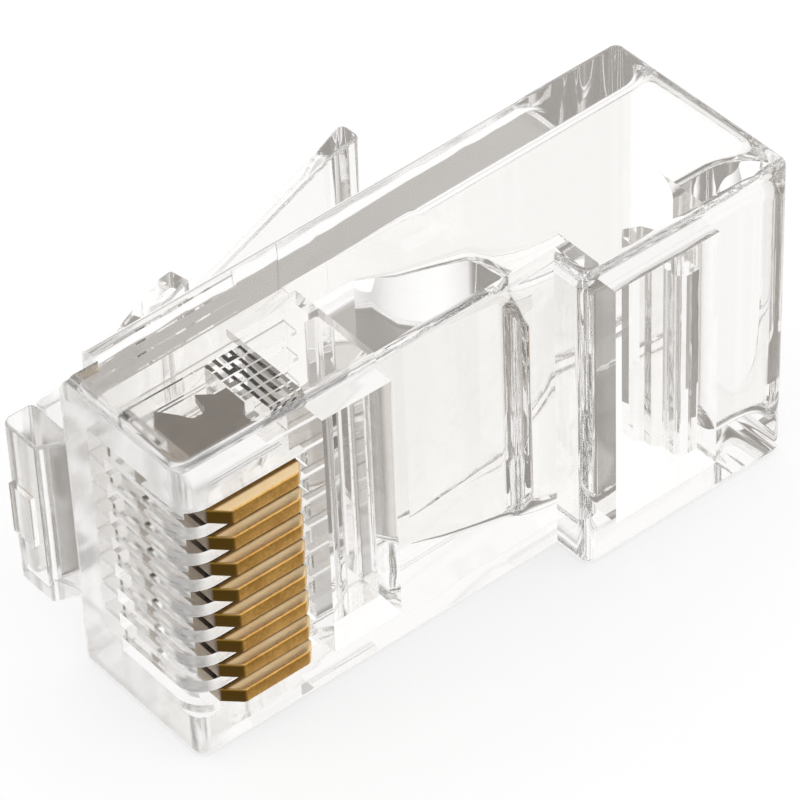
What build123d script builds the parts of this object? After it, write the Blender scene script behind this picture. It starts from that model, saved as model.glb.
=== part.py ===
from build123d import *
import math
import os

# An eight-way modular plug, moulded clear and not yet crimped, standing on one narrow side.
# x runs from the nose to the cable end, y from the contact side to the latch side, z is the width.

os.makedirs("parts", exist_ok=True)

# Driving dimensions of the housing, in millimetres
width = 11.68
body_length = 22.0
nose_length = 13.8
nose_thick_front = 5.9
nose_thick_rear = 6.5
shoulder_step = 1.35
side_wall = 1.2
latch_wall = 1.15
nose_wall = 0.9
edge_round = 0.15
end_round = 0.3
nose_round = 0.5
rear_round = 0.45

# Contacts and the slots that hold them
contact_count = 8
contact_pitch = 1.02
blade_thick = 0.35
blade_length = 2.98
blade_front = 0.82
blade_proud = 0.48
blade_lead = 0.25
blade_neck = 1.1
neck_step = 0.38
barb_start = 0.9
barb_end = 1.88
barb_depth = 0.35
tine_base = 2.72
tine_reach = 3.3
tine_width = 0.86
tine_dip = 0.58
blade_clearance = 0.05
crimp_travel = 0.9
slot_lead = 0.34
rib_round = 1.0
rib_margin = 0.06
front_slot_width = 0.5
front_slot_sink = 0.3
front_slot_depth = 2.3
front_foot_depth = 3.6
front_foot_sink = 0.55

# Conductor channels, the funnel that leads into them, and the space for the cable's jacket
channel_width = 0.86
channel_roof = 3.8
funnel_front = 9.4
funnel_rear = 12.67
funnel_roof = 2.6
jacket_roof = 0.7
jacket_corner = 0.7
mouth_round = 0.8

# Strain relief bars and their windows
grip_window_front = 5.1
grip_window_rear = 7.65
grip_sink = 0.86
grip_reach = 3.2
grip_channel_cut = 0.55
jacket_window_front = 15.0
jacket_window_rear = 19.1
jacket_bar_front = 17.1
jacket_bar_rear = 18.35
jacket_bar_reach = 1.0
jacket_bar_length = 7.2
jacket_hinge_y = -0.4
bar_sink = 0.05
bar_gap = 0.1
hinge_web = 0.25
hinge_gap = 0.03

# Latch and the root that it hangs on
root_reach = 0.8
root_rear = 0.35
root_height = 7.6
root_thick = 0.45
root_foot = 0.4
gate_proud = 0.2
gate_width = 1.0
gate_length = 1.9
latch_wide = 6.2
latch_narrow = 3.26
latch_flat_end = 1.8
shoulder_x = 6.95
shoulder_y = 9.64
shoulder_thick = 0.76
shoulder_flat = 0.57
shoulder_rise = 0.1
arm_slope = 18.4
arm_thick = 0.65
arm_lift = 0.33
arm_ramp = 1.0
tip_x = 16.34
tip_flare = 0.1
tip_height = 1.02
tip_run = 1.2

# The small notch in the nose's upper corner
notch_length = 1.13
notch_depth = 0.75
notch_height = 0.88

# Derived sizes
mid = width / 2
reach_past = 1.0
taper = (nose_thick_rear - nose_thick_front) / body_length
arm_rise = math.tan(math.radians(arm_slope))
arm_at_shoulder = shoulder_y + arm_lift
tip_y = arm_at_shoulder + arm_rise * (tip_x - shoulder_x) + tip_flare
blade_rear = blade_front + blade_length
neck_front = blade_front + neck_step
slot_front = blade_front - slot_lead
slot_rear = blade_rear + blade_clearance
slot_width = blade_thick + 2 * blade_clearance
slot_shoulder = blade_neck + crimp_travel + blade_clearance
channels_width = contact_count * contact_pitch
ribs_width = channels_width + 2 * rib_margin
cavity_width = width - 2 * side_wall
contact_heights = [mid + contact_pitch * (i - (contact_count - 1) / 2) for i in range(contact_count)]

# The frame's origin is on the side that the plug rests on, under the middle of plug and latch together
nose_x = -(body_length - root_reach - gate_proud) / 2
contact_y = -(tip_y - shoulder_step) / 2
side = Plane(origin=(nose_x, contact_y, 0))
across = Plane(origin=(nose_x, contact_y, mid), x_dir=(0, 1, 0), z_dir=(1, 0, 0))


def latch_face(x):
    """The latch side of the body, which rises a little from the nose to the cable end."""
    return nose_thick_front + taper * x


def floor_face(x):
    """The inner face of the wall on the latch side."""
    return latch_face(x) - latch_wall


def arm_outer(x):
    """The outer face of the narrow part of the latch."""
    return arm_at_shoulder + arm_rise * (x - shoulder_x)


def upright_edges(shape, x, y):
    """The upright edges on one corner of the plug's outline."""
    corner = side.from_local_coords(Vector(x, y, 0))
    near = Box(edge_round, edge_round, 3 * width, mode=Mode.PRIVATE).moved(Location((corner.X, corner.Y, 0)))
    return [edge for edge in shape.edges().filter_by(Axis.Z) if near.is_inside(edge.center())]


# Housing: one clear moulding with the contact slots, the channels, the cable space and the latch's root
with BuildPart() as housing:
    with BuildSketch(side):
        with BuildLine():
            Polyline(
                (0, 0),
                (nose_length, 0),
                (nose_length, -shoulder_step),
                (body_length, -shoulder_step),
                (body_length, nose_thick_rear),
                (0, nose_thick_front),
                close=True,
            )
        make_face()
    extrude(amount=width)
    fillet(upright_edges(housing, 0, 0), radius=nose_round)
    fillet(upright_edges(housing, 0, nose_thick_front), radius=nose_round)
    fillet(upright_edges(housing, nose_length, -shoulder_step), radius=rear_round)
    fillet(upright_edges(housing, body_length, -shoulder_step), radius=rear_round)
    end_faces = housing.faces().filter_by(Axis.Z)
    fillet(end_faces.edges(), radius=end_round)

    # Root block of the latch, in front of the nose and beside it
    with BuildSketch(side.offset(mid - latch_wide / 2)):
        with BuildLine():
            Polyline(
                (0, nose_thick_front - nose_wall),
                (0, nose_thick_front - root_foot),
                (-root_reach, nose_thick_front),
                (-root_reach, root_height - edge_round),
                (-root_reach + edge_round, root_height),
                (root_rear, root_height),
                (root_rear, nose_thick_front - nose_wall),
                close=True,
            )
        make_face()
    extrude(amount=latch_wide)
    root_middle = (nose_thick_front + root_height) / 2
    with BuildSketch(across.offset(-root_reach - gate_proud)):
        with Locations((root_middle, 0)):
            Rectangle(gate_width, gate_length)
    extrude(amount=gate_proud)

    # Cable space: a rounded well for the jacket, a funnel, and one channel for each conductor
    jacket_ends = [(funnel_rear, floor_face(funnel_rear)), (body_length, floor_face(body_length))]
    for x, floor in jacket_ends:
        with BuildSketch(across.offset(x)):
            with Locations(((jacket_roof + floor) / 2, 0)):
                RectangleRounded(floor - jacket_roof, cavity_width, jacket_corner)
    loft(mode=Mode.SUBTRACT)
    mouth = housing.faces().sort_by(Axis.X)[-1].inner_wires()[0]
    fillet(mouth.edges(), radius=mouth_round)
    funnel_ends = [
        (funnel_front, channel_roof, channels_width),
        (funnel_rear + edge_round, funnel_roof, cavity_width),
    ]
    for x, roof, wide in funnel_ends:
        with BuildSketch(across.offset(x)):
            with Locations(((roof + floor_face(x)) / 2, 0)):
                Rectangle(floor_face(x) - roof, wide)
    loft(mode=Mode.SUBTRACT)
    for height in contact_heights:
        with BuildSketch(side.offset(height - channel_width / 2)):
            with BuildLine():
                Polyline(
                    (nose_wall, channel_roof),
                    (funnel_front + edge_round, channel_roof),
                    (funnel_front + edge_round, floor_face(funnel_front)),
                    (nose_wall, floor_face(nose_wall)),
                    close=True,
                )
            make_face()
        extrude(amount=channel_width, mode=Mode.SUBTRACT)

    # Contact side of the nose: rounded ribs, and between them a slot for each contact with an open front
    with BuildSketch(side.offset(mid - ribs_width / 2)):
        with BuildLine():
            around_ribs = Polyline(
                (0, rib_round),
                (-reach_past, rib_round),
                (-reach_past, -reach_past),
                (rib_round, -reach_past),
                (rib_round, 0),
            )
            RadiusArc(around_ribs @ 1, around_ribs @ 0, rib_round)
        make_face()
    extrude(amount=ribs_width, mode=Mode.SUBTRACT)
    for height in contact_heights:
        with BuildSketch(side.offset(height - slot_width / 2)):
            with BuildLine():
                Polyline(
                    (slot_front, -reach_past),
                    (slot_rear, -reach_past),
                    (slot_rear, channel_roof + edge_round),
                    (neck_front - blade_clearance, channel_roof + edge_round),
                    (neck_front - blade_clearance, slot_shoulder),
                    (slot_front, slot_shoulder),
                    close=True,
                )
            make_face()
        extrude(amount=slot_width, mode=Mode.SUBTRACT)
        with BuildSketch(side.offset(height - front_slot_width / 2)):
            with BuildLine():
                front_slot = Polyline(
                    (rib_round, front_slot_sink),
                    (rib_round, -reach_past),
                    (-reach_past, -reach_past),
                    (-reach_past, front_foot_depth),
                    (front_foot_sink, front_foot_depth),
                    (front_foot_sink, front_slot_depth),
                    (front_slot_sink, front_slot_depth),
                    (front_slot_sink, rib_round),
                )
                RadiusArc(front_slot @ 1, front_slot @ 0, front_slot_sink - rib_round)
            make_face()
        extrude(amount=front_slot_width, mode=Mode.SUBTRACT)

    # Windows for the two strain relief bars
    with BuildSketch(side.offset(side_wall)):
        with BuildLine():
            Polyline(
                (grip_window_front, -reach_past),
                (grip_window_rear, -reach_past),
                (grip_window_rear, channel_roof + grip_channel_cut),
                (grip_window_front, channel_roof + grip_channel_cut),
                close=True,
            )
        make_face()
        with BuildLine():
            Polyline(
                (jacket_window_front, -shoulder_step - reach_past),
                (jacket_window_rear, -shoulder_step - reach_past),
                (jacket_window_rear, jacket_roof + jacket_corner),
                (jacket_window_front, jacket_roof + jacket_corner),
                close=True,
            )
        make_face()
    extrude(amount=cavity_width, mode=Mode.SUBTRACT)

    # Notch in the nose's upper corner, beside the latch
    with BuildSketch(side.offset(width - notch_height)):
        with BuildLine():
            Polyline(
                (-reach_past, nose_thick_front - notch_depth),
                (notch_length, nose_thick_front - notch_depth),
                (notch_length, nose_thick_front + reach_past),
                (-reach_past, nose_thick_front + reach_past),
                close=True,
            )
        make_face()
    extrude(amount=notch_height, mode=Mode.SUBTRACT)
housing.part.label = "housing"
export_step(housing.part, "parts/housing.step")

# Latch: a thin hinge at the root, a wide part that ends in the locking shoulder, and a narrow lever
hinge_x = root_rear + hinge_gap + root_thick / 2
hinge_y = root_height - root_thick / 2
with BuildPart() as latch:
    with BuildSketch(side.offset(mid - latch_wide / 2)):
        with BuildLine():
            wide_outline = Polyline(
                (hinge_x, root_height),
                (latch_flat_end, root_height),
                (shoulder_x - shoulder_flat, shoulder_y - shoulder_rise),
                (shoulder_x, shoulder_y),
                (shoulder_x + edge_round, shoulder_y - shoulder_thick),
                (latch_flat_end, root_height - root_thick),
                (hinge_x, root_height - root_thick),
            )
            ThreePointArc(wide_outline @ 1, (hinge_x - root_thick / 2, hinge_y), wide_outline @ 0)
        make_face()
    extrude(amount=latch_wide)
    wide_height = shoulder_y - shoulder_rise - root_height
    wide_rise = wide_height / (shoulder_x - shoulder_flat - latch_flat_end)
    ramp_start = shoulder_x - 2 * arm_ramp
    with BuildSketch(side.offset(mid - latch_narrow / 2)):
        with BuildLine():
            Polyline(
                (ramp_start, root_height + wide_rise * (ramp_start - latch_flat_end)),
                (ramp_start + arm_ramp, arm_outer(ramp_start + arm_ramp)),
                (tip_x - tip_run, arm_outer(tip_x - tip_run)),
                (tip_x, tip_y),
                (tip_x, tip_y - tip_height),
                (tip_x - tip_run, arm_outer(tip_x - tip_run) - arm_thick),
                (shoulder_x + arm_ramp, arm_outer(shoulder_x + arm_ramp) - arm_thick),
                (shoulder_x + edge_round, shoulder_y - shoulder_thick),
                (shoulder_x - arm_ramp, shoulder_y - shoulder_thick),
                close=True,
            )
        make_face()
    extrude(amount=latch_narrow)
latch.part.label = "latch"
export_step(latch.part, "parts/latch.step")

# Contacts: flat blades with two points, bent to opposite sides, that pierce the conductor at the crimp
front_point = neck_front + tine_width / 2
rear_tine = blade_rear - tine_width
rear_point = rear_tine + edge_round
notch_front = neck_front + tine_width
for number, height in enumerate(contact_heights, start=1):
    with BuildPart() as contact:
        with BuildSketch(side.offset(height - blade_thick / 2)):
            with BuildLine():
                blade_outline = Polyline(
                    (rear_tine, tine_base),
                    (blade_rear, tine_base),
                    (blade_rear, barb_end),
                    (blade_rear - barb_depth, barb_end - barb_depth),
                    (blade_rear - barb_depth, barb_start + barb_depth),
                    (blade_rear, barb_start),
                    (blade_rear, edge_round - blade_proud),
                    (blade_rear - edge_round, -blade_proud),
                    (blade_front + blade_lead, -blade_proud),
                    (blade_front, blade_lead - blade_proud),
                    (blade_front, blade_neck),
                    (neck_front, blade_neck),
                    (neck_front, tine_base),
                    (notch_front, tine_base),
                )
                dip = ((notch_front + rear_tine) / 2, tine_base - tine_dip)
                ThreePointArc(blade_outline @ 1, dip, blade_outline @ 0)
            make_face()
        extrude(amount=blade_thick)
        with BuildSketch(side.offset(height)):
            with BuildLine():
                Polyline(
                    (neck_front, tine_base),
                    (front_point, tine_reach),
                    (notch_front, tine_base),
                    close=True,
                )
            make_face()
        extrude(amount=blade_thick / 2)
        with BuildSketch(side.offset(height)):
            with BuildLine():
                Polyline(
                    (rear_tine, tine_base),
                    (rear_point, tine_reach),
                    (blade_rear, tine_base),
                    close=True,
                )
            make_face()
        extrude(amount=-blade_thick / 2)
    contact.part.label = f"contact_{number}"
    export_step(contact.part, f"parts/contact_{number}.step")

# Conductor bar: a wedge behind the contacts, hinged at its front edge
grip_hinge_x = grip_window_front + hinge_gap + hinge_web / 2
grip_hinge_y = grip_sink + hinge_web / 2
grip_rear = grip_window_rear - bar_gap
grip_length = cavity_width - 2 * bar_gap
with BuildPart() as conductor_bar:
    with BuildSketch(side.offset(mid - grip_length / 2)):
        with BuildLine():
            grip_outline = Polyline(
                (grip_hinge_x, grip_sink),
                (grip_rear, grip_sink),
                (grip_rear, grip_reach - edge_round),
                (grip_rear - edge_round, grip_reach),
                (grip_rear - 2 * hinge_web, grip_reach),
                (grip_hinge_x + hinge_web, grip_sink + hinge_web),
                (grip_hinge_x, grip_sink + hinge_web),
            )
            hinge_end = (grip_hinge_x - hinge_web / 2, grip_hinge_y)
            ThreePointArc(grip_outline @ 1, hinge_end, grip_outline @ 0)
        make_face()
    extrude(amount=grip_length)
conductor_bar.part.label = "conductor_bar"
export_step(conductor_bar.part, "parts/conductor_bar.step")

# Jacket bar: a stepped block in the window of the thick end, hinged at its rear edge
jacket_hinge_x = jacket_window_rear - hinge_gap - hinge_web / 2
outer_face = bar_sink - shoulder_step
step_out = (jacket_bar_rear - jacket_bar_front) / 5
with BuildPart() as jacket_bar:
    with BuildSketch(side.offset(mid - jacket_bar_length / 2)):
        with BuildLine():
            jacket_outline = Polyline(
                (jacket_hinge_x, jacket_hinge_y - hinge_web / 2),
                (jacket_bar_rear, jacket_hinge_y - hinge_web / 2),
                (jacket_bar_rear, outer_face),
                (jacket_bar_front + 3 * step_out, outer_face),
                (jacket_bar_front + 2 * step_out, outer_face + step_out),
                (jacket_bar_front + 2 * step_out, outer_face + 3 * step_out),
                (jacket_bar_front + step_out, outer_face + 4 * step_out),
                (jacket_bar_front + step_out, jacket_bar_reach - 4 * step_out),
                (jacket_bar_front, jacket_bar_reach - 3 * step_out),
                (jacket_bar_front, jacket_bar_reach - step_out),
                (jacket_bar_front + step_out, jacket_bar_reach),
                (jacket_bar_front + 3 * step_out, jacket_bar_reach - step_out),
                (jacket_bar_rear, jacket_hinge_y + hinge_web / 2),
                (jacket_hinge_x, jacket_hinge_y + hinge_web / 2),
            )
            hinge_end = (jacket_hinge_x + hinge_web / 2, jacket_hinge_y)
            ThreePointArc(jacket_outline @ 1, hinge_end, jacket_outline @ 0)
        make_face()
    extrude(amount=jacket_bar_length)
jacket_bar.part.label = "jacket_bar"
export_step(jacket_bar.part, "parts/jacket_bar.step")
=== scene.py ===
import math

import bmesh
import bpy
from mathutils import Matrix, Vector


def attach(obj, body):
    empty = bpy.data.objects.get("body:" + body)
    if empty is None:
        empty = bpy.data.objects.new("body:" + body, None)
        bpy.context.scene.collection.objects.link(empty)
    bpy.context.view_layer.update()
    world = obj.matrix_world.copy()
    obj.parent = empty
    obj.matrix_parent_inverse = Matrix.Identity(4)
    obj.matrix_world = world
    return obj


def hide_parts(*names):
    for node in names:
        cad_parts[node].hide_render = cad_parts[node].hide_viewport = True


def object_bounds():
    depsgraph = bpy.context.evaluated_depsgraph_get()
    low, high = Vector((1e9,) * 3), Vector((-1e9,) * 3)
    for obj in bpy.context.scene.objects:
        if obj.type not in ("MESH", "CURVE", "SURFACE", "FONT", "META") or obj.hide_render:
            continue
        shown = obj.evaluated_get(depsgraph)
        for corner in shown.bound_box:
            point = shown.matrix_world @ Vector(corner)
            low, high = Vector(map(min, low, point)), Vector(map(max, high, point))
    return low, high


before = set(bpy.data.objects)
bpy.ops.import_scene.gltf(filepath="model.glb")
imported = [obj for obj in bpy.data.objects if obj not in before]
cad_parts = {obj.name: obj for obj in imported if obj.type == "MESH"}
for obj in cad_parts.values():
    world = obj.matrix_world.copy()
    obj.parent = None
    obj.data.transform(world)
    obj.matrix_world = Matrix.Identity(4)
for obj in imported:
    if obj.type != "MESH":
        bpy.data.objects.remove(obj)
cad_box = [list(corner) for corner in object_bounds()]
MM = 0.001

# The plug's own frame, in millimetres: x from the nose, y from the contact face, z across the width
NOSE_X = -10.5
CONTACT_Y = -5.9218
LENGTH = 22.0
WIDTH = 11.68
MID = WIDTH / 2
NOSE_DEPTH = 5.9
REAR_DEPTH = 6.5

# The thick block at the rear
BLOCK_X = 13.8
BLOCK_OUT = 1.35

# Walls of the space for the cable
SIDE_WALL = 1.2
LATCH_WALL = 1.15
WELL_ROOF = 0.7

# Latch and its root
ROOT_HALF = 3.1
LEVER_HALF = 1.63
GATE_HALF = 0.95

# The row of contacts, with the ribs, slots and channels around them
PITCH = 1.02
CONTACT_HEIGHTS = [MID + PITCH * (i - 3.5) for i in range(8)]
BLADE_HALF = 0.26
PROUD = 0.54
RIBS_HALF = 4.14
SLOT_HALF = 0.285
FRONT_SLOT_HALF = 0.27
CHANNEL_HALF = 0.43
CHANNEL_Y = 3.8
THROAT_X = 7.6
THROAT_HALF = 4.08

# Where the windows of the two strain relief bars start and end
GRIP_WINDOW = (5.1, 7.65)
JACKET_WINDOW = (15.0, 19.1)

# A cut reaches this far past the surface
PAST = 1.0


def at(x, y, z):
    """A point of the plug's own frame, in metres of the shared frame."""
    return Vector(((NOSE_X + x) * MM, (CONTACT_Y + y) * MM, z * MM))


def latch_face(x):
    """How far the latch's side of the body is from the contact face."""
    return NOSE_DEPTH + (REAR_DEPTH - NOSE_DEPTH) * x / LENGTH


def floor_face(x):
    """The inner face of the wall on the latch's side."""
    return latch_face(x) - LATCH_WALL


# Shader maths as expressions

class Value:
    """A shader socket that adds and multiplies like a number."""

    def __init__(self, tree, socket):
        self.tree = tree
        self.socket = socket

    def node(self, kind, inputs, output=0, **settings):
        made = self.tree.nodes.new(kind)
        for name, value in settings.items():
            setattr(made, name, value)
        for key, value in inputs.items():
            if isinstance(value, Value):
                self.tree.links.new(value.socket, made.inputs[key])
            else:
                made.inputs[key].default_value = value
        return Value(self.tree, made.outputs[output])

    def math(self, operation, other):
        return self.node("ShaderNodeMath", {0: self, 1: other}, operation=operation)

    def __add__(self, other):
        return self.math("ADD", other)

    __radd__ = __add__

    def __mul__(self, other):
        return self.math("MULTIPLY", other)

    __rmul__ = __mul__

    def step(self, low, high):
        """0 up to low and 1 past high, smooth between; high may also be below low."""
        return self.node(
            "ShaderNodeMapRange",
            {"Value": self, "From Min": low, "From Max": high},
            interpolation_type="SMOOTHSTEP",
        )

    def past(self, zero, low, high):
        """The same step for a coordinate, in millimetres from a zero."""
        return self.step((zero + low) * MM, (zero + high) * MM)

    def mix(self, low, high):
        """The colour low where this is 0 and high where it is 1."""
        return self.node("ShaderNodeMix", {0: self, 6: low, 7: high}, output=2, data_type="RGBA")

    def part(self, index):
        """One of the three parts of a vector."""
        return self.node("ShaderNodeSeparateXYZ", {0: self}, output=index)


def material(name):
    """A new material with its Principled shader, and a Value to start expressions from."""
    made = bpy.data.materials.new(name)
    made.use_nodes = True
    tree = made.node_tree
    shader = tree.nodes["Principled BSDF"]
    coords = tree.nodes.new("ShaderNodeTexCoord")
    return made, shader, Value(tree, coords.outputs["Object"])


def noise(coords, scale, detail=3.0, roughness=0.5):
    return coords.node(
        "ShaderNodeTexNoise",
        {"Vector": coords, "Scale": scale, "Detail": detail, "Roughness": roughness},
    )


def bump(height, strength, distance):
    return height.node("ShaderNodeBump", {"Height": height, "Strength": strength, "Distance": distance})


def drive(shader, socket, value):
    value.tree.links.new(value.socket, shader.inputs[socket])


def clear_plastic():
    """Clear moulded plastic with faint flow waves, and a light frost on the rounded ribs at the nose."""
    polished = 0.02
    frosted = 0.16
    made, shader, coords = material("clear_moulding")
    shader.inputs["Base Color"].default_value = (0.975, 0.968, 0.957, 1)
    shader.inputs["Transmission Weight"].default_value = 1.0
    shader.inputs["IOR"].default_value = 1.58
    along = coords.part(0)
    on_ribs = along.past(NOSE_X, 1.3, 0.9) * along.past(NOSE_X, -0.12, -0.04)
    drive(shader, "Roughness", on_ribs * (frosted - polished) + polished)
    flow = noise(coords, 260.0, 2.0)
    drive(shader, "Normal", bump(flow, 0.25, 0.00006))
    return made


def gold():
    """Gold plating on the part of a contact that stands out, with painted shade on its outer edge, front
    lead and root, and duller bare metal inside the plug that is also darkened as painted shade.
    """
    made, shader, coords = material("contact_gold")
    shader.inputs["Metallic"].default_value = 1.0
    fine = noise(coords, 9000.0, 4.0, 0.65)
    broad = noise(coords, 1100.0, 3.0, 0.6)
    tone = (fine * 0.45 + broad * 0.55).step(0.35, 0.65)

    # Where the tones change, as seen from the contact face and from the nose
    along = coords.part(0)
    depth = coords.part(1)
    on_side = depth.past(CONTACT_Y, -0.52, -0.46)
    at_root = depth.past(CONTACT_Y, -0.2, -0.09)
    inside = depth.past(CONTACT_Y, 0.1, 0.6)
    on_lead = (along + depth).past(NOSE_X + CONTACT_Y, 0.92, 0.85)
    on_front = along.past(NOSE_X, 1.25, 1.21) * inside
    on_front = on_front.math("MAXIMUM", along.past(NOSE_X, 0.87, 0.84))

    # Painted shade: the outer edge faces are a darker olive copy of the gold on the sides, as if the blade
    # above took their light
    edge_shade_tone = tone.mix((0.60, 0.32, 0.07, 1), (0.92, 0.54, 0.15, 1))
    side_tone = tone.mix((1.0, 0.70, 0.37, 1), (1.0, 0.80, 0.50, 1))
    # Inside the plug: bare metal without gold plating, made darker than the metal itself as painted shade
    # from the ribs and neighbouring blades
    bare_metal_and_shade_tone = tone.mix((0.10, 0.078, 0.052, 1), (0.16, 0.125, 0.088, 1))
    # Painted shade: dark brown where each blade goes in between the ribs, under the blade above
    root_shade_tone = (0.17, 0.085, 0.02, 1)
    # Painted shade: the front lead of the outer edge is dark brown
    lead_shade_tone = (0.24, 0.14, 0.025, 1)
    front_tone = (0.5, 0.42, 0.34, 1)
    colour = on_side.mix(edge_shade_tone, side_tone)
    colour = at_root.mix(colour, root_shade_tone)
    colour = on_lead.mix(colour, lead_shade_tone)
    colour = inside.mix(colour, bare_metal_and_shade_tone)
    drive(shader, "Base Color", on_front.mix(colour, front_tone))
    drive(shader, "Roughness", fine * 0.2 + 0.22)
    drive(shader, "Normal", bump(fine, 0.3, 0.00002))
    return made


def floor_paper():
    """White paper that glows a little, so that it stays white and still takes the object's shadow."""
    made, shader, _ = material("white_floor")
    shader.inputs["Base Color"].default_value = (0.32, 0.32, 0.32, 1)
    shader.inputs["Emission Color"].default_value = (1, 1, 1, 1)
    shader.inputs["Emission Strength"].default_value = 0.7
    shader.inputs["Roughness"].default_value = 1.0
    shader.inputs["Specular IOR Level"].default_value = 0.0
    return made


CLEAR = clear_plastic()
GOLD = gold()


# Solid modelling, in millimetres of the plug's own frame

def rounded(points, steps):
    """An outline's points, where a point (x, y, r) becomes an arc of radius r."""
    outline = []
    count = len(points)
    for i, point in enumerate(points):
        here = Vector(point[:2])
        radius = point[2] if len(point) > 2 else 0
        if not radius:
            outline.append(here)
            continue
        before = (Vector(points[i - 1][:2]) - here).normalized()
        after = (Vector(points[(i + 1) % count][:2]) - here).normalized()
        half = before.angle(after) / 2
        reach = radius / math.tan(half)
        centre = here + (before + after).normalized() * radius / math.sin(half)
        start = here + before * reach - centre
        end = here + after * reach - centre
        turn = -start.angle_signed(end)
        for k in range(steps + 1):
            cos = math.cos(turn * k / steps)
            sin = math.sin(turn * k / steps)
            outline.append(centre + Vector((start.x * cos - start.y * sin, start.x * sin + start.y * cos)))
    return outline


def solid(name, rings, soften=0.0, steps=6):
    """A closed solid skinned over rings of points; soften rounds the edges of its two end faces."""
    mesh = bpy.data.meshes.new(name)
    made = bpy.data.objects.new(name, mesh)
    bpy.context.scene.collection.objects.link(made)
    form = bmesh.new()
    loops = [[form.verts.new(point) for point in ring] for ring in rings]
    ends = [form.faces.new(loops[0]), form.faces.new(loops[-1])]
    for first, second in zip(loops, loops[1:]):
        for i in range(len(first)):
            j = (i + 1) % len(first)
            form.faces.new((first[i], first[j], second[j], second[i]))
    bmesh.ops.recalc_face_normals(form, faces=form.faces)
    if soften:
        bmesh.ops.bevel(
            form, geom=[edge for end in ends for edge in end.edges], offset=soften * MM,
            segments=steps, profile=0.5, affect="EDGES", clamp_overlap=False,
        )
    form.to_mesh(mesh)
    form.free()
    return made


def prism(name, points, low, high, soften=0.0, steps=6):
    """A solid with this outline from z low to z high."""
    outline = rounded(points, steps)
    return solid(name, [[at(p.x, p.y, z) for p in outline] for z in (low, high)], soften, steps)


def block(name, x_ends, y_ends, low, high):
    """A prism with a rectangle for its outline."""
    x0, x1 = x_ends
    y0, y1 = y_ends
    return prism(name, [(x0, y0), (x1, y0), (x1, y1), (x0, y1)], low, high)


def tube(name, sections, steps=6):
    """A solid through rounded rectangles across the plug: x, near and far y, low and high z, two radii."""
    rings = []
    for x, near, far, low, high, near_radius, far_radius in sections:
        corners = [(near, low, near_radius), (far, low, far_radius), (far, high, far_radius)]
        corners.append((near, high, near_radius))
        rings.append([at(x, p.x, p.y) for p in rounded(corners, steps)])
    return solid(name, rings)


def apply_modifiers(piece):
    graph = bpy.context.evaluated_depsgraph_get()
    mesh = bpy.data.meshes.new_from_object(piece.evaluated_get(graph))
    piece.modifiers.clear()
    piece.data = mesh


def combine(body, others, operation):
    """The body with the others cut away from it, or joined to it."""
    group = bpy.data.collections.new("tools")
    bpy.context.scene.collection.children.link(group)
    for other in others:
        bpy.context.scene.collection.objects.unlink(other)
        group.objects.link(other)
    modifier = body.modifiers.new("combine", "BOOLEAN")
    modifier.operation = operation
    modifier.operand_type = "COLLECTION"
    modifier.collection = group
    modifier.solver = "EXACT"
    apply_modifiers(body)
    for other in others:
        bpy.data.objects.remove(other)
    bpy.data.collections.remove(group)


def smooth(piece, angle=28):
    """Rounded edges shade smoothly and flat faces stay flat."""
    for face in piece.data.polygons:
        face.use_smooth = True
    piece.data.set_sharp_from_angle(angle=math.radians(angle))
    modifier = piece.modifiers.new("normals", "WEIGHTED_NORMAL")
    modifier.mode = "FACE_AREA"
    modifier.weight = 100
    modifier.keep_sharp = True
    apply_modifiers(piece)


def finish_piece(piece, node, surface=CLEAR):
    """The piece takes the place of a node of the plug, and moves with it."""
    smooth(piece)
    piece.data.materials.clear()
    piece.data.materials.append(surface)
    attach(piece, node)
    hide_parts(node)


# Housing

def flare(x, start, radius):
    """How far a rounded lip has opened at x."""
    return radius - math.sqrt(radius ** 2 - max(0.0, x - start) ** 2)


def cable_space():
    """The funnel, the rise to the jacket's well, and the well with its flared mouth."""
    # Each section is x, its roof, half its width and its corner radius
    well_half = MID - SIDE_WALL
    funnel = [
        (9.3, 3.84, 4.06, 0.05),
        (9.8, 3.55, 4.16, 0.12),
        (10.4, 3.1, 4.28, 0.25),
        (11.6, 2.6, 4.47, 0.35),
        (12.4, 2.25, 4.58, 0.45),
    ]
    rise = [
        (12.65, 1.95, 4.61, 0.7),
        (12.8, 1.45, 4.63, 1.05),
        (12.95, 1.0, well_half, 1.3),
        (13.15, 0.78, well_half, 1.35),
    ]
    well = [
        (13.5, 0.71, well_half, 1.12),
        (13.9, WELL_ROOF, well_half, 0.9),
        (14.4, WELL_ROOF, well_half, 0.75),
        (15.0, WELL_ROOF, well_half, 0.7),
    ]
    far_radius = 0.7
    sections = []
    for x, roof, half, radius in funnel + rise + well:
        low, high = MID - half, MID + half
        sections.append((x, roof, floor_face(x), low, high, radius, min(radius, far_radius)))

    roof_lip_x, roof_lip_radius = 20.5, 1.6
    lip_x, lip_radius = 21.25, 0.84
    mouth_x = LENGTH + 0.05
    lip_steps = 8
    for k in range(lip_steps + 1):
        # The sections come closer together towards the mouth
        x = mouth_x - (mouth_x - roof_lip_x) * (1 - k / lip_steps) ** 1.6
        roof = WELL_ROOF - flare(x, roof_lip_x, roof_lip_radius)
        lip = flare(x, lip_x, lip_radius)
        radius = far_radius + 0.6 * lip
        low, high = SIDE_WALL - lip, WIDTH - SIDE_WALL + lip
        sections.append((x, roof, floor_face(x) + lip, low, high, radius, radius))
    return tube("cable_space", sections)


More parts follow.
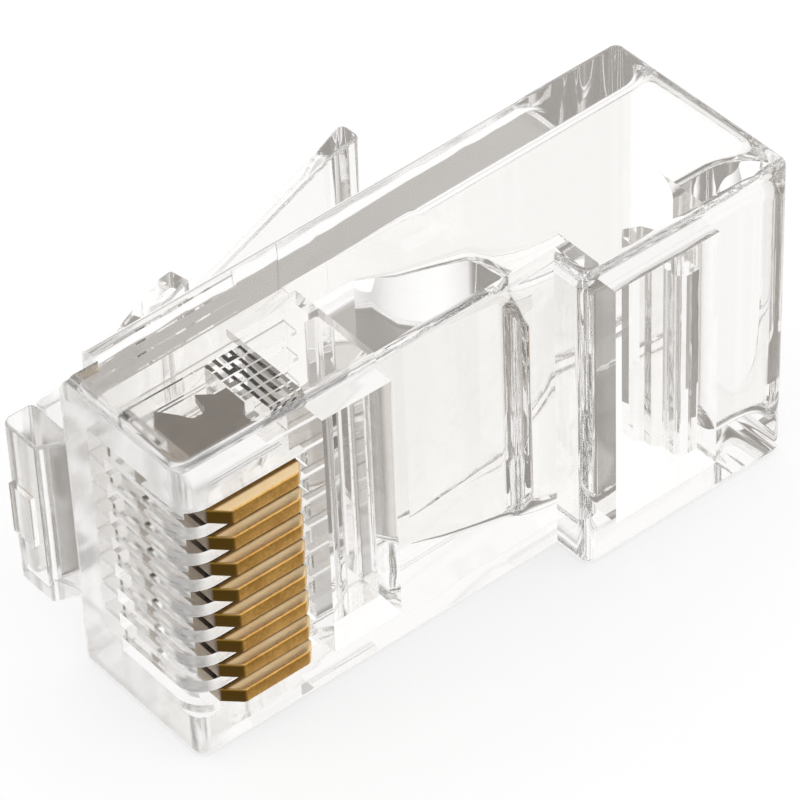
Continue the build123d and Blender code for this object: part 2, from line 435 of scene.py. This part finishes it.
def contact_cuts(z):
    """The channel for a conductor, and the slot for the contact with its open front."""
    channel_end = THROAT_X + 0.1
    slot_floor = CHANNEL_Y + 0.15
    channel = [(0.9, CHANNEL_Y), (channel_end, CHANNEL_Y), (channel_end, 4.96), (0.9, 4.77)]
    slot = [(0.48, -PAST), (4.5, -PAST), (4.5, 0.8), (4.15, 0.8), (4.15, 1.9), (3.85, 1.9)]
    slot += [(3.85, slot_floor), (1.15, slot_floor), (1.15, 2.05), (0.48, 2.05)]
    front = [(1.0, -PAST), (1.0, 0.3), (0.3, 0.3, 0.699), (0.3, 2.3), (0.55, 2.3), (0.55, 3.6)]
    front += [(-PAST, 3.6), (-PAST, -PAST)]
    return [
        prism("channel", channel, z - CHANNEL_HALF, z + CHANNEL_HALF),
        prism("slot", slot, z - SLOT_HALF, z + SLOT_HALF),
        prism("front_slot", front, z - FRONT_SLOT_HALF, z + FRONT_SLOT_HALF, steps=12),
    ]


def housing():
    """The clear moulding with the root of the latch, cut by everything that is open in it."""
    contact_side = [(0, 0, 0.5), (BLOCK_X, 0), (BLOCK_X, -BLOCK_OUT, 0.45), (LENGTH, -BLOCK_OUT, 0.45)]
    latch_side = [(LENGTH, REAR_DEPTH, 0.34), (0, NOSE_DEPTH, 0.5)]
    body = prism("moulding", contact_side + latch_side, 0, WIDTH, soften=0.3)
    root_outline = [(0.35, 5.0), (0.1, 5.0), (0.1, 5.5)]
    root_outline += [(-0.8, 5.9, 0.2), (-0.8, 7.6, 0.3), (0.35, 7.6, 0.2)]
    root = prism("root", root_outline, MID - ROOT_HALF, MID + ROOT_HALF, soften=0.1)
    gate = block("gate", (-1, -0.5), (6.25, 7.25), MID - GATE_HALF, MID + GATE_HALF)
    combine(body, [root, gate], "UNION")

    rib_radius = 0.999
    rib_fronts = [(-PAST, -PAST), (1.0, -PAST), (1.0, 0), (0, 0, rib_radius), (0, 1.0), (-PAST, 1.0)]
    throat = [(THROAT_X, CHANNEL_Y), (9.5, CHANNEL_Y), (9.5, 4.99), (THROAT_X, 4.95)]
    cuts = [
        cable_space(),
        block("grip_window", GRIP_WINDOW, (-PAST, 4.35), SIDE_WALL, WIDTH - SIDE_WALL),
        block("jacket_window", JACKET_WINDOW, (-BLOCK_OUT - PAST, 1.4), SIDE_WALL, WIDTH - SIDE_WALL),
        prism("rib_fronts", rib_fronts, MID - RIBS_HALF, MID + RIBS_HALF, steps=12),
        prism("throat", throat, MID - THROAT_HALF, MID + THROAT_HALF),
        block("corner_notch", (-PAST, 1.13), (5.15, 7), WIDTH - 0.88, WIDTH + PAST),
    ]
    for z in CONTACT_HEIGHTS:
        cuts += contact_cuts(z)
    combine(body, cuts, "DIFFERENCE")
    return body


# Latch and strain relief

def latch():
    """The wide part with its locking shoulder, and the lever."""
    wide_part = [(0.38, 7.15, 0.2), (0.38, 7.6, 0.2), (1.8, 7.6, 1.5), (6.38, 9.54, 1.2)]
    wide_part += [(6.95, 9.64, 0.12), (7.1, 8.88, 0.1), (1.8, 7.15, 2.0)]
    made = prism("latch_moulding", wide_part, MID - ROOT_HALF, MID + ROOT_HALF, soften=0.1)
    upper_side = [(4.95, 8.92), (5.95, 9.637, 2.0), (15.14, 12.694, 2.0), (16.34, 13.194, 0.25)]
    lower_side = [(16.34, 12.174, 0.3), (15.14, 12.044, 2.0), (7.95, 9.652, 1.0), (7.1, 8.88, 0.4)]
    lower_side.append((5.95, 8.88))
    lever = prism("lever", upper_side + lower_side, MID - LEVER_HALF, MID + LEVER_HALF, soften=0.12)
    combine(made, [lever], "UNION")
    return made


def conductor_bar():
    """The wedge that is pressed onto the conductors."""
    front, rear = 5.13, 7.55
    top = 0.86
    outline = [(front, top, 0.1), (rear, top, 0.12), (rear, 3.2, 0.15)]
    outline += [(7.05, 3.2, 0.1), (5.5, 1.11, 0.3), (front, 1.11, 0.1)]
    return prism("conductor_wedge", outline, MID - 4.54, MID + 4.54, soften=0.08)


# Contacts

def contact(number, z):
    """A blade with a rounded outer edge, and two points that are bent to opposite sides."""
    lead = [(0.82, 0.35), (0.82, 0.0, 0.15), (1.37, -PROUD, 0.2)]
    heel = [(3.78, -PROUD, 0.2), (4.1, -0.2, 0.12), (4.1, 0.35)]
    outer_side = [(0.84, 0.0), (4.08, 0.0), (4.08, 0.55)]
    barb_notch = [(3.8, 0.9), (3.45, 1.25), (3.45, 1.53), (3.8, 1.88)]
    inner_side = [(3.8, 2.72), (2.94, 2.72), (2.72, 2.3, 0.25), (2.28, 2.3, 0.25), (2.06, 2.72)]
    neck = [(1.2, 2.72), (1.2, 1.1), (0.84, 1.1)]
    front_point = [(1.2, 2.6), (1.2, 2.72), (1.63, 3.3), (2.06, 2.72), (2.06, 2.6)]
    rear_point = [(2.94, 2.6), (2.94, 2.72), (3.09, 3.3), (3.8, 2.72), (3.8, 2.6)]

    outline = outer_side + barb_notch + inner_side + neck
    low, high = z - BLADE_HALF, z + BLADE_HALF
    blade = prism(f"blade_{number}", outline, low, high)
    past_side = 0.002
    past_middle = 0.02
    joined = [
        prism("edge", lead + heel, low - past_side, high + past_side, soften=0.07, steps=4),
        prism("front_point", front_point, z - past_middle, high),
        prism("rear_point", rear_point, low, z + past_middle),
    ]
    combine(blade, joined, "UNION")
    return blade


finish_piece(housing(), "housing")
finish_piece(latch(), "latch")
finish_piece(conductor_bar(), "conductor_bar")
for number, z in enumerate(CONTACT_HEIGHTS, start=1):
    finish_piece(contact(number, z), f"contact_{number}", GOLD)

jacket_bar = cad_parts["jacket_bar"].data
jacket_bar.materials.clear()
jacket_bar.materials.append(CLEAR)

# Floor, just below the plug, and left out of what the plastic reflects and shows through it
reach = 3.0
level = cad_box[0][2] - 0.02 * MM
corners = [(-reach, -reach, level), (reach, -reach, level), (reach, reach, level), (-reach, reach, level)]
mesh = bpy.data.meshes.new("floor")
mesh.from_pydata(corners, [], [(0, 1, 2, 3)])
floor = bpy.data.objects.new("floor", mesh)
floor.data.materials.append(floor_paper())
floor.visible_glossy = False
floor.visible_transmission = False
bpy.context.scene.collection.objects.link(floor)

# Studio: white behind what is only looked through, and a room with dim patches for every reflection
world = bpy.data.worlds.new("studio")
world.use_nodes = True
bpy.context.scene.world = world
tree = world.node_tree
background = tree.nodes["Background"]
white = (1, 1, 1, 1)
sky = Value(tree, tree.nodes.new("ShaderNodeTexCoord").outputs["Generated"])
height = sky.part(2)
toward_nose = sky.part(0).step(0.1, -0.45)
straight_down = height.step(-0.74, -0.92)
patches = noise(sky, 1.7, 1.0, 0.4).step(0.36, 0.64)
dim = patches.mix((0.22, 0.205, 0.19, 1), (0.74, 0.71, 0.68, 1))
dim = toward_nose.mix(dim, (0.27, 0.25, 0.23, 1))
dim = straight_down.mix(dim, (0.3, 0.28, 0.26, 1))

# A large white screen behind the plug and low down, and white light from above
screen = (0.457, 0.586, -0.669)
toward_screen = sky.node("ShaderNodeVectorMath", {0: sky, 1: screen}, output=1, operation="DOT_PRODUCT")
lit = toward_screen.step(0.40, 0.86).math("MAXIMUM", height.step(-0.25, 0.45))
room = lit.mix(dim, white)
light_path = tree.nodes.new("ShaderNodeLightPath")
reflected = Value(tree, light_path.outputs["Glossy Depth"]).step(0.2, 0.8)
seen = reflected.mix(white, room)
tree.links.new(seen.socket, background.inputs["Color"])
background.inputs["Strength"].default_value = 1.05

# Camera, with its place given in the plug's own frame
camera_at = at(-53.63, -78.91, 99.74)
back = Vector((-0.4570, -0.5858, 0.6693)).normalized()
up = back.cross(Vector((0.7700, -0.6372, -0.0320))).normalized()
right = up.cross(back).normalized()
camera_data = bpy.data.cameras.new("camera")
camera_data.sensor_width = 36.0
camera_data.lens = 211.17
camera_data.clip_start = 0.005
camera_data.clip_end = 20.0
camera = bpy.data.objects.new("camera", camera_data)
camera.matrix_world = Matrix.Translation(camera_at) @ Matrix((right, up, back)).transposed().to_4x4()
bpy.context.scene.collection.objects.link(camera)
bpy.context.scene.camera = camera
bpy.context.scene.view_settings.view_transform = "Standard"

# Light passes many walls of the clear plastic
WALLS = 40
cycles = bpy.context.scene.cycles
cycles.max_bounces = WALLS
cycles.transmission_bounces = WALLS
cycles.glossy_bounces = WALLS
